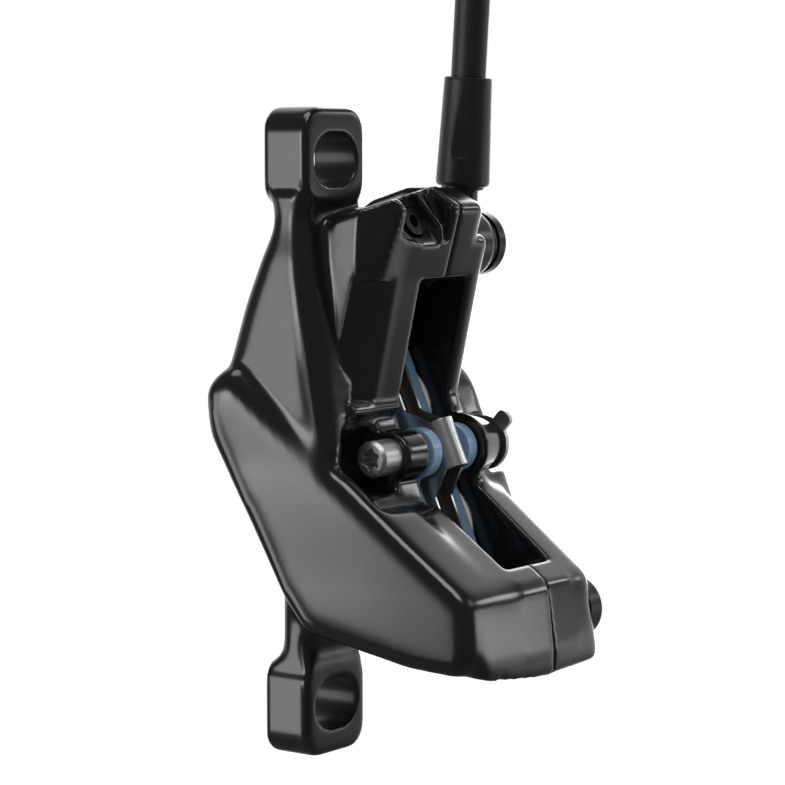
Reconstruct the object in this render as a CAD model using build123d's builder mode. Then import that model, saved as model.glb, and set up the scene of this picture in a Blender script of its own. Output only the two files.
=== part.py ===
from build123d import *
import math
import os

os.makedirs("parts", exist_ok=True)

# Frame: +Z runs up the line through the two mounting bolts, the mounting face lies at
# Y = 0 with the caliper on its -Y side, and +X points from the outboard half to the inboard one.

# Post mount: two slotted ears, one above the other
post_spacing = 74.2
ear_width = 13.4
ear_depth = 7.4
ear_above = 7.1
ear_below = 6.3
ear_corner_radius = 3.4
ear_edge_radius = 0.7
slot_length = 9.4
slot_width = 7.2

# Rotor that the caliper is made for, and the room kept round it
rotor_offset = 15.5
rotor_radius = 90.0
rotor_thickness = 1.8
rotor_rim_depth = 2.1
rotor_side_room = 1.1
rotor_rim_room = 2.6
rotor_air_gap = 0.25

# Pad pin line: its place, and the tilt of the pads against the bolt line in degrees
pin_out = 13.0
pin_drop = 3.3
pad_tilt = 24.0

# Pads
plate_thickness = 2.0
friction_thickness = 2.1
pad_length = 32.0
pad_outer = 2.3
pad_inner = 17.2
pad_corner_radius = 1.6
pad_neck_radius = 0.9
friction_length = 30.6
friction_outer = 2.95
friction_inner = 16.8
friction_groove = 1.2
pad_ear_radius = 3.45
pad_hole_clearance = 0.3
pad_end_clearance = 0.3
pad_side_clearance = 0.45

# Pistons and their bores
piston_radius = 7.5
piston_length = 9.6
piston_cup_radius = 5.6
piston_cup_depth = 6.6
piston_line = 9.6
piston_pitch = 17.8
piston_edge = 0.5
bore_clearance = 0.05
bore_end_room = 0.5
seal_section = 1.4
seal_room = 0.06
seal_inset = 1.7

# Pad pin, its head and its clip
pin_radius = 1.6
pin_head_radius = 2.5
pin_head_length = 4.3
pin_head_chamfer = 0.45
pin_socket_radius = 1.2
pin_lobe_radius = 0.35
pin_socket_depth = 2.2
pin_tip_length = 1.6
pin_tip_chamfer = 0.4
pin_groove_depth = 0.45
pin_hole_clearance = 0.04
clip_thickness = 0.7
clip_radius = 3.9
clip_tab_reach = 5.8
clip_tab_width = 2.4
clip_room = 0.05
boss_radius = 3.4
outboard_boss_length = 5.4
inboard_boss_length = 6.2
inboard_boss_root = 4.9
head_pocket_radius = 4.9
head_pocket_reach = 3.4
tool_radius = 1.9

# Body outline shares: depth away from the pad pin line, then length along the pads
core_depth = 40.0
core_length = 72.0
core_outline_shares = [
    (-0.448, 0.407),
    (-0.375, 0.470),
    (-0.255, 0.497),
    (-0.095, 0.508),
    (0.015, 0.494),
    (0.118, 0.399),
    (0.380, 0.270),
    (0.470, 0.215),
    (0.470, -0.215),
    (0.425, -0.264),
    (0.038, -0.424),
    (-0.148, -0.494),
    (-0.190, -0.443),
    (-0.252, -0.334),
    (-0.245, -0.310),
    (-0.031, -0.110),
    (-0.027, 0.104),
    (-0.285, 0.297),
]
core_corner_radius = 1.3
core_side = 2.5
core_side_radius = 1.4
brow_cut_top = 4.3
brow_cut_low = 2.0
brow_cut_back = 4.4
brow_cut_length = 15.0
top_rise_share = 0.176
top_fall_share = 0.267
top_corner_height = 28.9
base_rise_share = 0.121

# Side blade of the outboard half
blade_reach = 10.6
blade_nose = 4.2
blade_root = 4.0
blade_outline_shares = [
    (0.270, 0.256),
    (0.378, 0.233),
    (0.424, 0.150),
    (0.372, -0.188),
    (0.335, -0.268),
    (0.038, -0.396),
    (-0.170, -0.462),
    (-0.258, -0.325),
    (-0.110, -0.169),
]
blade_corner_radius = 2.4
blade_edge_radius = 1.1

# Arms between the ears and the core, as shares of half the post spacing
arm_side = 7.0
arm_root = 1.0
arm_edge_radius = 1.6
upper_arm_shares = [
    (0.000, 0.905),
    (-0.032, 0.845),
    (-0.035, 0.763),
    (0.070, 0.488),
    (0.156, 0.234),
    (0.180, 0.000),
    (-0.135, -0.160),
    (-0.329, -0.121),
    (-0.288, 0.067),
    (-0.253, 0.318),
    (-0.197, 0.593),
    (-0.181, 0.800),
    (-0.190, 0.905),
]
lower_arm_side = 6.2
lower_arm_shares = [
    (-0.059, -0.480),
    (-0.059, -0.800),
    (0.000, -0.860),
    (0.000, -0.905),
    (-0.199, -0.905),
    (-0.199, -0.840),
    (-0.189, -0.790),
    (-0.250, -0.480),
]
neck_side = 6.1
neck_shares = [
    (0.000, 0.905),
    (-0.032, 0.845),
    (-0.035, 0.720),
    (-0.170, 0.720),
    (-0.181, 0.800),
    (-0.196, 0.905),
]

# Bevel on the outboard wall's front edge
bevel_width = 6.0
bevel_depth = 2.3

# Inboard half: its bridge and wall are thin, its flank and piston housing thick
inboard_top_thickness = 7.2
inboard_low_thickness = 12.6
inboard_end_wall = 2.2
inboard_edge_radius = 1.5
inboard_top_radius = 1.2
inboard_brow_radius = 2.8
inboard_wall_thickness = 9.5
inboard_wall_radius = 1.9
housing_wall = 1.7
housing_edge_radius = 3.4
flank_draft = 2.0
flank_outline_shares = [
    (-0.023, -0.083),
    (-0.250, -0.320),
    (-0.190, -0.443),
    (-0.148, -0.494),
    (0.038, -0.424),
    (0.300, -0.306),
    (0.440, -0.215),
    (0.440, -0.083),
]
bridge_outline_shares = [
    (-0.448, 0.407),
    (-0.375, 0.462),
    (-0.255, 0.492),
    (-0.095, 0.503),
    (0.015, 0.494),
    (0.118, 0.399),
    (0.380, 0.270),
    (0.470, 0.215),
    (0.470, -0.115),
    (-0.020, -0.105),
    (-0.027, 0.104),
    (-0.285, 0.297),
]
wall_outline_shares = [
    (-0.285, 0.297),
    (-0.375, 0.358),
    (-0.240, 0.420),
    (0.060, 0.330),
    (0.260, 0.200),
    (0.260, -0.115),
    (-0.020, -0.105),
    (-0.027, 0.104),
]

# Cavity between the halves: it holds the pads, and the rotor turns in it
cavity_top_shares = [
    (-1.000, 0.118),
    (-0.285, 0.294),
    (-0.150, 0.325),
    (0.110, 0.290),
]
cavity_bottom = 19.8
cavity_shelf = 4.4
boss_pocket_top = 6.2
boss_pocket_bottom = 7.8
boss_pocket_depth = 0.4

# Lower body bolt
bolt_line_depth = 3.6
bolt_line_drop = 26.4
bolt_radius = 3.0
bolt_clearance = 0.2
thread_clearance = 0.03
bolt_head_radius = 4.4
bolt_head_length = 3.2
bolt_head_chamfer = 0.4
bolt_socket_radius = 2.3
bolt_socket_depth = 2.0
bolt_reach = 12.0
bolt_seat_depth = 0.8
bolt_seat_room = 0.3

# Banjo, its bolt and washers
banjo_out = 8.0
banjo_up = 25.0
banjo_eye_radius = 5.2
banjo_eye_width = 7.4
banjo_eye_round = 2.2
banjo_bolt_radius = 3.0
banjo_bolt_reach = 9.0
banjo_tip_room = 1.2
banjo_bore_clearance = 0.06
banjo_gallery_radius = 3.9
banjo_gallery_width = 2.4
banjo_head_radius = 4.6
banjo_head_length = 1.9
banjo_head_chamfer = 0.35
banjo_socket_radius = 2.3
banjo_socket_depth = 1.3
banjo_duct_radius = 1.0
banjo_boss_radius = 5.6
banjo_boss_height = 0.6
washer_thickness = 0.7
washer_width = 1.3
neck_offset = 0.8
neck_radius = 2.3
neck_length = 8.6
neck_collar_length = 0.8
hose_lean = 3.6
crossover_ring_radius = 3.85
crossover_ring_section = 1.0
crossover_room = 0.04
duct_radius = 0.8
duct_inset = 0.95
feed_rib_radius = 2.2
feed_inset = 2.0
eye_room = 0.4
clip_pocket_room = 0.3

# Hose with its crimp sleeve and boot
hose_radius = 2.5
hose_bore_radius = 1.15
hose_fit = 0.03
crimp_radius = 3.1
crimp_length = 9.0
stem_length = 8.0
stem_bore_radius = 0.5
stem_barb_length = 1.6
stem_barb_height = 0.18
stem_barb_count = 4
boot_radius = 3.9
boot_top_radius = 3.4
boot_length = 15.6
boot_overlap = 0.4
boot_flat_depth = 0.45
boot_flat_width = 4.4
boot_flat_start = 4.2
boot_flat_angle = 62.0
boot_foot_round = 0.7
boot_fit = 0.05

# Bleed screw in its recess on the bridge
recess_side = 8.4
recess_out = 16.4
recess_up = 24.4
recess_length = 10.8
recess_height = 12.0
recess_turn = 24.0
recess_fall = 2.4
recess_rib_foot = 5.4
recess_rib_lean = 32.0
recess_rib_width = 0.8
recess_rib_height = 1.8
bleed_step = 0.6
bleed_rise = 4.7
bleed_radius = 2.0
bleed_head_length = 1.3
bleed_head_room = 0.2
bleed_head_proud = 0.3
bleed_thread_radius = 1.3
bleed_thread_length = 2.4
bleed_socket_radius = 1.1
bleed_socket_depth = 0.9
bleed_ring_section = 0.5
bleed_duct_length = 2.4

# Pad spring
spring_thickness = 0.4
spring_crown = 4.0
spring_saddle_half = 3.5
spring_edge_room = 0.3
spring_leg_width = 1.3
spring_knee = 6.4
spring_leg_end = 13.4
spring_side_room = 0.05
spring_pin_room = 0.2
spring_corner = 0.5
pad_travel = 1.1

# Hose beyond the boot, and its coil in the order that the hose runs
hose_run = 63.5
coil_radius = 27.5
coil_turns = 5
coil_pitch = 5.6
coil_lead = 5.0
coil_exit_step = 3.6
coil_tail = 15.0
tie_width = 4.0
tie_thickness = 1.1
tie_room = 0.3
tie_round = 2.2
tie_angles = [90.0, 200.0]

# Fittings on the hose's lever end
nut_radius = 4.6
nut_hex_length = 5.0
nut_thread_radius = 3.7
nut_thread_length = 5.6
nut_gap = 0.1
olive_radius = 3.2
olive_length = 2.2
olive_round = 0.3
insert_flange_radius = 2.4
insert_flange_length = 1.1

# One overrun serves every cut
overrun = 1.0

tilt = math.radians(pad_tilt)
tangent_up = Vector(0, math.sin(tilt), math.cos(tilt))
inward = Vector(0, math.cos(tilt), -math.sin(tilt))
along_x = Vector(1, 0, 0)
pin_point = Vector(0, -pin_out, -pin_drop)
half_span = post_spacing / 2
lean = math.radians(hose_lean)
hose_way = Vector(0, -math.sin(lean), math.cos(lean))
coil_way = Vector(0, -math.cos(lean), -math.sin(lean))


def pad_plane(x: float) -> Plane:
    """Side plane on the pad pin line: local x runs inward to the hub, local y up the pads."""
    return Plane(origin=pin_point + along_x * x, x_dir=inward, z_dir=along_x)


def side_plane(x: float) -> Plane:
    """Side plane through the mount's centre: local x is Y and local y is Z."""
    return Plane(origin=(x, 0, 0), x_dir=(0, 1, 0), z_dir=(1, 0, 0))


def at_pads(x: float, depth: float, length: float) -> Vector:
    """A point given by its X, its depth from the pin line and its place along the pads."""
    return pin_point + along_x * x + inward * depth + tangent_up * length


def outline(shares: list, wide: float, tall: float) -> list:
    """Outline points from share pairs and the two sizes that they follow."""
    return [(a * wide, b * tall) for a, b in shares]


def slab(plane: Plane, points: list, amount: float) -> Part:
    """A flat-sided piece: a closed outline drawn on a plane and extruded."""
    with BuildPart() as piece:
        with BuildSketch(plane):
            with BuildLine():
                Polyline(*points, close=True)
            make_face()
        extrude(amount=amount)
    return piece.part


def drill(start: Vector, end: Vector, radius: float) -> Part:
    """A round rod from one point to another, for ducts, holes and ribs."""
    with BuildPart() as rod:
        with BuildSketch(Plane(origin=start, z_dir=end - start)):
            Circle(radius)
        extrude(amount=(end - start).length)
    return rod.part


def tube(start: Vector, way: Vector, length: float, outer: float, inner: float) -> Part:
    """A straight tube that starts at a point and runs one way."""
    with BuildPart() as piece:
        with BuildSketch(Plane(origin=start, z_dir=way)):
            Circle(outer)
            Circle(inner, mode=Mode.SUBTRACT)
        extrude(amount=length)
    return piece.part


def write(part: Part, name: str) -> None:
    """Label a finished piece and write its STEP file."""
    part.label = name
    export_step(part, f"parts/{name}.step")
    print(name, len(part.solids()), round(part.volume, 1))


# Places along X that both halves and the pads share
plate_reach = rotor_thickness / 2 + rotor_air_gap + friction_thickness + plate_thickness
outboard_plate_x = rotor_offset - plate_reach
inboard_plate_x = rotor_offset + plate_reach
outboard_wall_x = outboard_plate_x - pad_side_clearance
inboard_wall_x = inboard_plate_x + pad_side_clearance
outboard_bore_x = outboard_plate_x - piston_length - bore_end_room
inboard_bore_x = inboard_plate_x + piston_length + bore_end_room
head_end_x = outboard_wall_x - outboard_boss_length
pin_head_x = head_end_x - pin_head_length
boss_tip_x = inboard_wall_x + inboard_boss_length
bore_radius = piston_radius + bore_clearance
groove_radius = bore_radius + seal_section
piston_steps = [piston_pitch / 2, -piston_pitch / 2]
inboard_top_x = rotor_offset + inboard_top_thickness
inboard_low_x = rotor_offset + inboard_low_thickness
bolt_seat_x = inboard_low_x - bolt_seat_depth
banjo_seat_x = inboard_top_x + banjo_boss_height
banjo_eye_x = banjo_seat_x + washer_thickness
banjo_head_x = banjo_eye_x + banjo_eye_width + washer_thickness
banjo_tip_x = rotor_offset - banjo_bolt_reach
banjo_point = Vector(0, -banjo_out, banjo_up)
banjo_hole_radius = banjo_bolt_radius + thread_clearance

# Tools that cut both halves
with BuildPart() as bores_tool:
    with BuildSketch(pad_plane(0)):
        with Locations(*[(piston_line, step) for step in piston_steps]):
            Circle(bore_radius)
    extrude(amount=inboard_bore_x - rotor_offset)

with BuildPart() as grooves_tool:
    with BuildSketch(pad_plane(0)):
        with Locations(*[(piston_line, step) for step in piston_steps]):
            Circle(groove_radius)
    extrude(amount=seal_section)

half_cavity = pad_length / 2 + pad_end_clearance
cavity_points = outline(cavity_top_shares, core_depth, core_length) + [
    (cavity_top_shares[3][0] * core_depth, half_cavity),
    (core_depth, half_cavity),
    (core_depth, -half_cavity),
    (cavity_shelf, -half_cavity),
    (cavity_shelf, -cavity_bottom),
    (-core_depth, -cavity_bottom),
]
outboard_cavity = slab(pad_plane(outboard_wall_x), cavity_points, rotor_offset - outboard_wall_x)
inboard_cavity = slab(pad_plane(rotor_offset), cavity_points, inboard_wall_x - rotor_offset)

with BuildPart() as rotor_tool:
    with BuildSketch(pad_plane(rotor_offset)):
        with Locations((rotor_radius + rotor_rim_depth, 0)):
            Circle(rotor_radius + rotor_rim_room)
    extrude(amount=rotor_thickness / 2 + rotor_side_room, both=True)

# Wedge that bevels the outboard wall's front edge
core_points = outline(core_outline_shares, core_depth, core_length)
wall_foot = at_pads(outboard_wall_x, *core_points[16])
wall_head = at_pads(outboard_wall_x, *core_points[17])
wall_way = (wall_head - wall_foot).normalized()
bevel_end = bevel_width - core_side
bevel_slope = bevel_depth / bevel_width
bevel_plane = Plane(origin=wall_foot - along_x * outboard_wall_x, x_dir=along_x, z_dir=wall_way)
bevel_points = [
    (bevel_end, 0),
    (bevel_end - bevel_width - bevel_width, bevel_depth + bevel_depth),
    (bevel_end - bevel_width - bevel_width, -bevel_depth),
    (bevel_end, -bevel_depth),
]
wall_bevel = slab(bevel_plane, bevel_points, (wall_head - wall_foot).length)

# Slanted cut on the outboard bridge's front corner, wider at the top
brow_foot = at_pads(brow_cut_low - core_side, *core_points[17])
brow_head = at_pads(brow_cut_top - core_side, *core_points[0])
brow_back = at_pads(-core_side, *core_points[0]) + Vector(0, brow_cut_back, 0)
brow_way = (brow_head - brow_foot).normalized()
brow_out = brow_way.cross(brow_back - brow_foot).normalized()
brow_middle = (brow_foot + brow_head) / 2
with BuildPart() as brow_tool:
    with BuildSketch(Plane(origin=brow_middle, x_dir=brow_way, z_dir=brow_out)):
        Rectangle(brow_cut_length, brow_cut_length)
    extrude(amount=brow_cut_length / 2)

# Core of the outboard half, with its sloping top and base
top_normal = Vector(-top_rise_share, top_fall_share, 1)
top_corner = Vector(-core_side, upper_arm_shares[10][0] * half_span, top_corner_height)
base_corner = at_pads(rotor_offset, *core_points[11])
base_run = at_pads(rotor_offset, *core_points[10]) - base_corner
base_normal = Vector(1, 0, -base_rise_share).cross(base_run)
with BuildPart() as outboard_core:
    with BuildSketch(pad_plane(-core_side)) as core_face:
        with BuildLine():
            Polyline(*core_points, close=True)
        make_face()
        fillet(core_face.vertices(), radius=core_corner_radius)
    extrude(amount=rotor_offset + core_side)
    fillet(outboard_core.faces().sort_by(Axis.X)[0].edges(), radius=core_side_radius)
    split(bisect_by=Plane(top_corner, z_dir=top_normal), keep=Keep.BOTTOM)
    split(bisect_by=Plane(base_corner, z_dir=base_normal), keep=Keep.TOP)
    add(wall_bevel, mode=Mode.SUBTRACT)
    add(brow_tool.part, mode=Mode.SUBTRACT)

# Side blade, cut to its slant and rounded
blade_front = blade_outline_shares[7][0] * core_depth
blade_back = blade_outline_shares[2][0] * core_depth
blade_run = blade_back - blade_front
blade_rise = blade_reach - blade_nose
blade_normal = Vector(-blade_run, 0, 0) - inward * blade_rise
with BuildPart() as blade:
    with BuildSketch(pad_plane(blade_root)) as blade_face:
        with BuildLine():
            Polyline(*outline(blade_outline_shares, core_depth, core_length), close=True)
        make_face()
        fillet(blade_face.vertices(), radius=blade_corner_radius)
    extrude(amount=-blade_reach - blade_root - core_side)
    split(bisect_by=Plane(at_pads(-blade_nose, blade_front, 0), z_dir=blade_normal), keep=Keep.BOTTOM)
    fillet(blade.faces().sort_by(Axis.X)[0].edges(), radius=blade_edge_radius)

# Arms, with the neck that joins the upper ear to the bridge
with BuildPart() as upper_arm:
    with BuildSketch(side_plane(-arm_side)):
        with BuildLine():
            Polyline(*outline(upper_arm_shares, half_span, half_span), close=True)
        make_face()
    extrude(amount=arm_side - arm_root)
    fillet(upper_arm.faces().sort_by(Axis.X)[0].edges(), radius=arm_edge_radius)

neck = slab(side_plane(-neck_side), outline(neck_shares, half_span, half_span), neck_side + neck_side)

with BuildPart() as lower_arm:
    with BuildSketch(side_plane(-lower_arm_side)):
        with BuildLine():
            Polyline(*outline(lower_arm_shares, half_span, half_span), close=True)
        make_face()
    extrude(amount=lower_arm_side + lower_arm_side)
    fillet(lower_arm.faces().sort_by(Axis.X)[0].edges(), radius=ear_edge_radius)
    fillet(lower_arm.faces().sort_by(Axis.X)[-1].edges(), radius=ear_edge_radius)


def make_ear(sign: int) -> Part:
    """One mounting ear: sign is 1 for the upper ear and -1 for the lower one."""
    middle = sign * (half_span + (ear_above - ear_below) / 2)
    with BuildPart() as ear:
        with BuildSketch(Plane.XZ):
            with Locations((0, middle)):
                RectangleRounded(ear_width, ear_above + ear_below, ear_corner_radius)
        extrude(amount=ear_depth)
        fillet(ear.faces().sort_by(Axis.Y)[0].edges(), radius=ear_edge_radius)
    return ear.part


with BuildPart() as slots_tool:
    with BuildSketch(Plane.XZ.offset(-overrun)):
        with Locations((0, half_span), (0, -half_span)):
            SlotOverall(slot_length, slot_width)
    extrude(amount=ear_depth + overrun + overrun)

# Recess for the bleed screw, crossed by a low rib
recess_angle = math.radians(recess_turn)
recess_normal = Vector(0, -math.cos(recess_angle), math.sin(recess_angle))
recess_plane = Plane(origin=(recess_side, -recess_out, recess_up), x_dir=along_x, z_dir=recess_normal)
recess_half = recess_length / 2
with BuildPart() as recess_tool:
    with BuildSketch(recess_plane):
        with BuildLine():
            Polyline(
                (-recess_half, recess_fall),
                (recess_half, 0),
                (recess_half, recess_height),
                (-recess_half, recess_height),
                close=True,
            )
        make_face()
    extrude(amount=recess_height)
    with BuildSketch(recess_plane):
        with Locations(Location((recess_rib_foot, 0, 0), (0, 0, recess_rib_lean))):
            Rectangle(recess_rib_width, recess_height + recess_height)
    extrude(amount=recess_rib_height, mode=Mode.SUBTRACT)
bleed_sink = bleed_head_proud - bleed_head_length
bleed_seat = recess_plane.from_local_coords(Vector(-bleed_step, bleed_rise, bleed_sink))
bleed_top = bleed_seat + recess_normal * (bleed_head_length + overrun)
bleed_tip = bleed_seat - recess_normal * bleed_thread_length
bleed_hole = bleed_tip - recess_normal * thread_clearance
bleed_duct_end = bleed_tip - recess_normal * bleed_duct_length

# Ducts from the banjo bolt's hole to the bores
outboard_feed_start = banjo_point + along_x * banjo_tip_x
feed_depth = piston_line - piston_radius / 2
feed_length = piston_pitch / 2 + piston_radius / 2
outboard_feed_end = at_pads(outboard_bore_x + duct_inset, feed_depth, feed_length)
inboard_feed_start = banjo_point + along_x * (rotor_offset + feed_inset)
inboard_feed_end = at_pads(inboard_bore_x - duct_inset, feed_depth, feed_length)
bolt_point = at_pads(0, -bolt_line_depth, -bolt_line_drop)
bolt_middle = bolt_point + along_x * rotor_offset

with BuildPart() as outboard_body:
    add(outboard_core.part)
    add(blade.part)
    add(upper_arm.part)
    add(neck)
    add(lower_arm.part)
    add(make_ear(1))
    add(make_ear(-1))
    # Pads' cavity, rotor slot, bores and seal grooves
    add(outboard_cavity, mode=Mode.SUBTRACT)
    add(rotor_tool.part, mode=Mode.SUBTRACT)
    add(bores_tool.part.moved(Location((outboard_bore_x, 0, 0))), mode=Mode.SUBTRACT)
    groove_x = outboard_wall_x - seal_inset - seal_section
    add(grooves_tool.part.moved(Location((groove_x, 0, 0))), mode=Mode.SUBTRACT)
    # Open pocket round the pin's boss
    with BuildSketch(pad_plane(-core_side - overrun)):
        with Locations(((boss_pocket_depth - core_depth) / 2, (boss_pocket_top - boss_pocket_bottom) / 2)):
            Rectangle(core_depth + boss_pocket_depth, boss_pocket_top + boss_pocket_bottom)
    extrude(amount=outboard_wall_x + core_side + overrun, mode=Mode.SUBTRACT)
    # Round pocket for the pin's head, with its way in for the tool
    with BuildSketch(pad_plane(-head_pocket_reach)):
        Circle(head_pocket_radius)
    extrude(amount=head_end_x + head_pocket_reach, mode=Mode.SUBTRACT)
    with BuildSketch(pad_plane(-blade_reach - overrun)):
        Circle(tool_radius)
    extrude(amount=blade_reach + overrun + head_end_x, mode=Mode.SUBTRACT)
    # Boss and its hole
    with BuildSketch(pad_plane(head_end_x)):
        Circle(boss_radius)
    extrude(amount=outboard_wall_x - head_end_x)
    with BuildSketch(pad_plane(head_end_x - overrun)):
        Circle(pin_radius + pin_hole_clearance)
    extrude(amount=outboard_wall_x - head_end_x + overrun, mode=Mode.SUBTRACT)
    # Mounting slots
    add(slots_tool.part, mode=Mode.SUBTRACT)
    # Threaded holes for the lower bolt and the banjo bolt
    bolt_start = bolt_point + along_x * (rotor_offset - bolt_reach - overrun)
    add(drill(bolt_start, bolt_middle, bolt_radius + thread_clearance), mode=Mode.SUBTRACT)
    banjo_start = banjo_point + along_x * (banjo_tip_x - banjo_tip_room)
    add(drill(banjo_start, banjo_point + along_x * rotor_offset, banjo_hole_radius), mode=Mode.SUBTRACT)
    # Bleed screw's recess, seat, thread and duct
    add(recess_tool.part, mode=Mode.SUBTRACT)
    add(drill(bleed_seat, bleed_top, bleed_radius + bleed_head_room), mode=Mode.SUBTRACT)
    add(drill(bleed_hole, bleed_seat, bleed_thread_radius + thread_clearance), mode=Mode.SUBTRACT)
    add(drill(bleed_duct_end, bleed_tip, duct_radius), mode=Mode.SUBTRACT)
    # Fluid ducts to the upper bore and on to the lower one
    add(drill(outboard_feed_start, outboard_feed_end, duct_radius), mode=Mode.SUBTRACT)
    duct_x = outboard_bore_x + duct_inset
    upper_mouth = at_pads(duct_x, piston_line, piston_pitch / 2)
    lower_mouth = at_pads(duct_x, piston_line, -piston_pitch / 2)
    add(drill(upper_mouth, lower_mouth, duct_radius), mode=Mode.SUBTRACT)

write(outboard_body.part, "outboard_body")

# Inboard half: bridge, wall, flank, piston housing, boss and feed rib
with BuildPart() as inboard_bridge:
    with BuildSketch(pad_plane(rotor_offset)) as bridge_face:
        with BuildLine():
            Polyline(*outline(bridge_outline_shares, core_depth, core_length), close=True)
        make_face()
        fillet(bridge_face.vertices(), radius=inboard_top_radius)
    extrude(amount=inboard_top_thickness)
    fillet(inboard_bridge.faces().sort_by(Axis.X)[-1].edges(), radius=inboard_brow_radius)

with BuildPart() as inboard_wall:
    with BuildSketch(pad_plane(rotor_offset)) as wall_face:
        with BuildLine():
            Polyline(*outline(wall_outline_shares, core_depth, core_length), close=True)
        make_face()
        fillet(wall_face.vertices(), radius=inboard_top_radius)
    extrude(amount=inboard_wall_thickness)
    fillet(inboard_wall.faces().sort_by(Axis.X)[-1].edges(), radius=inboard_wall_radius)

with BuildPart() as flank:
    with BuildSketch(pad_plane(rotor_offset)) as flank_face:
        with BuildLine():
            Polyline(*outline(flank_outline_shares, core_depth, core_length), close=True)
        make_face()
        fillet(flank_face.vertices(), radius=inboard_edge_radius)
    extrude(amount=inboard_low_thickness, taper=flank_draft)
    fillet(flank.faces().sort_by(Axis.X)[-1].edges(), radius=inboard_edge_radius)

housing_radius = bore_radius + housing_wall
with BuildPart() as housing:
    with BuildSketch(pad_plane(rotor_offset)):
        with Locations(Location((piston_line, 0, 0), (0, 0, 90))):
            SlotCenterToCenter(piston_pitch, housing_radius + housing_radius)
    extrude(amount=inboard_bore_x + inboard_end_wall - rotor_offset)
    fillet(housing.faces().sort_by(Axis.X)[-1].edges(), radius=housing_edge_radius)

boss_draft = math.degrees(math.atan((inboard_boss_root - boss_radius) / inboard_boss_length))
with BuildPart() as inboard_body:
    add(inboard_bridge.part)
    add(inboard_wall.part)
    add(flank.part)
    add(housing.part)
    # Boss round the pin, banjo seat and feed rib
    with BuildSketch(pad_plane(inboard_wall_x)):
        Circle(inboard_boss_root)
    extrude(amount=inboard_boss_length, taper=boss_draft)
    banjo_root = banjo_point + along_x * (inboard_top_x - inboard_brow_radius)
    add(drill(banjo_root, banjo_point + along_x * banjo_seat_x, banjo_boss_radius))
    add(drill(inboard_feed_start, inboard_feed_end, feed_rib_radius))
    # Pads' cavity, rotor slot, bores and seal grooves
    add(inboard_cavity, mode=Mode.SUBTRACT)
    add(rotor_tool.part, mode=Mode.SUBTRACT)
    add(bores_tool.part.moved(Location((rotor_offset, 0, 0))), mode=Mode.SUBTRACT)
    add(grooves_tool.part.moved(Location((inboard_wall_x + seal_inset, 0, 0))), mode=Mode.SUBTRACT)
    # Room for the banjo's eye beside the rib, and for the pin's clip beside the housing
    eye_far = banjo_point + along_x * (inboard_bore_x + inboard_end_wall)
    add(drill(banjo_point + along_x * banjo_seat_x, eye_far, banjo_eye_radius + eye_room), mode=Mode.SUBTRACT)
    with BuildSketch(pad_plane(boss_tip_x)):
        Circle(clip_radius + clip_pocket_room)
    extrude(amount=inboard_bore_x + inboard_end_wall - boss_tip_x + overrun, mode=Mode.SUBTRACT)
    # Pin hole
    with BuildSketch(pad_plane(inboard_wall_x - overrun)):
        Circle(pin_radius + pin_hole_clearance)
    extrude(amount=inboard_boss_length + overrun + overrun, mode=Mode.SUBTRACT)
    # Lower bolt's clearance hole and head seat
    add(
        drill(bolt_middle, bolt_point + along_x * inboard_low_x, bolt_radius + bolt_clearance),
        mode=Mode.SUBTRACT,
    )
    seat_top = bolt_point + along_x * (inboard_low_x + overrun)
    seat_floor = bolt_point + along_x * bolt_seat_x
    add(drill(seat_floor, seat_top, bolt_head_radius + bolt_seat_room), mode=Mode.SUBTRACT)
    # Banjo bolt's hole, the seal ring's groove and the fluid ducts
    add(
        drill(banjo_point + along_x * rotor_offset, banjo_point + along_x * banjo_seat_x, banjo_hole_radius),
        mode=Mode.SUBTRACT,
    )
    ring_half = crossover_ring_section / 2
    ring_groove = tube(
        banjo_point + along_x * rotor_offset,
        along_x,
        crossover_ring_section,
        crossover_ring_radius + ring_half + crossover_room,
        crossover_ring_radius - ring_half - crossover_room,
    )
    add(ring_groove, mode=Mode.SUBTRACT)
    add(drill(inboard_feed_start, inboard_feed_end, duct_radius), mode=Mode.SUBTRACT)
    duct_x = inboard_bore_x - duct_inset
    upper_mouth = at_pads(duct_x, piston_line, piston_pitch / 2)
    lower_mouth = at_pads(duct_x, piston_line, -piston_pitch / 2)
    add(drill(upper_mouth, lower_mouth, duct_radius), mode=Mode.SUBTRACT)

write(inboard_body.part, "inboard_body")

# Lower body bolt
bolt_end = bolt_point + along_x * (rotor_offset - bolt_reach)
bolt_seat = bolt_point + along_x * bolt_seat_x
with BuildPart() as body_bolt:
    add(drill(bolt_end, bolt_seat, bolt_radius))
    with BuildSketch(Plane(origin=bolt_seat, z_dir=along_x)):
        Circle(bolt_head_radius)
    extrude(amount=bolt_head_length)
    chamfer(body_bolt.faces().sort_by(Axis.X)[-1].edges(), length=bolt_head_chamfer)
    with BuildSketch(Plane(origin=bolt_seat + along_x * bolt_head_length, z_dir=along_x)):
        RegularPolygon(bolt_socket_radius, 6)
    extrude(amount=-bolt_socket_depth, mode=Mode.SUBTRACT)
write(body_bolt.part, "body_bolt")

# Seal ring between the halves at the banjo bolt
crossover_seal = tube(
    banjo_point + along_x * (rotor_offset + crossover_room),
    along_x,
    crossover_ring_section - crossover_room,
    crossover_ring_radius + ring_half,
    crossover_ring_radius - ring_half,
)
write(crossover_seal, "crossover_seal")


def make_piston(face_x: float, way: int, step: float) -> Part:
    """A cup piston: its face touches the backing plate, and its cup opens toward the plate."""
    face = at_pads(face_x, piston_line, step)
    with BuildPart() as piston:
        with BuildSketch(Plane(origin=face, z_dir=along_x * way)):
            Circle(piston_radius)
        extrude(amount=piston_length)
        chamfer(piston.edges().filter_by(GeomType.CIRCLE), length=piston_edge)
        with BuildSketch(Plane(origin=face, z_dir=along_x * way)):
            Circle(piston_cup_radius)
        extrude(amount=piston_cup_depth, mode=Mode.SUBTRACT)
    return piston.part


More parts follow.
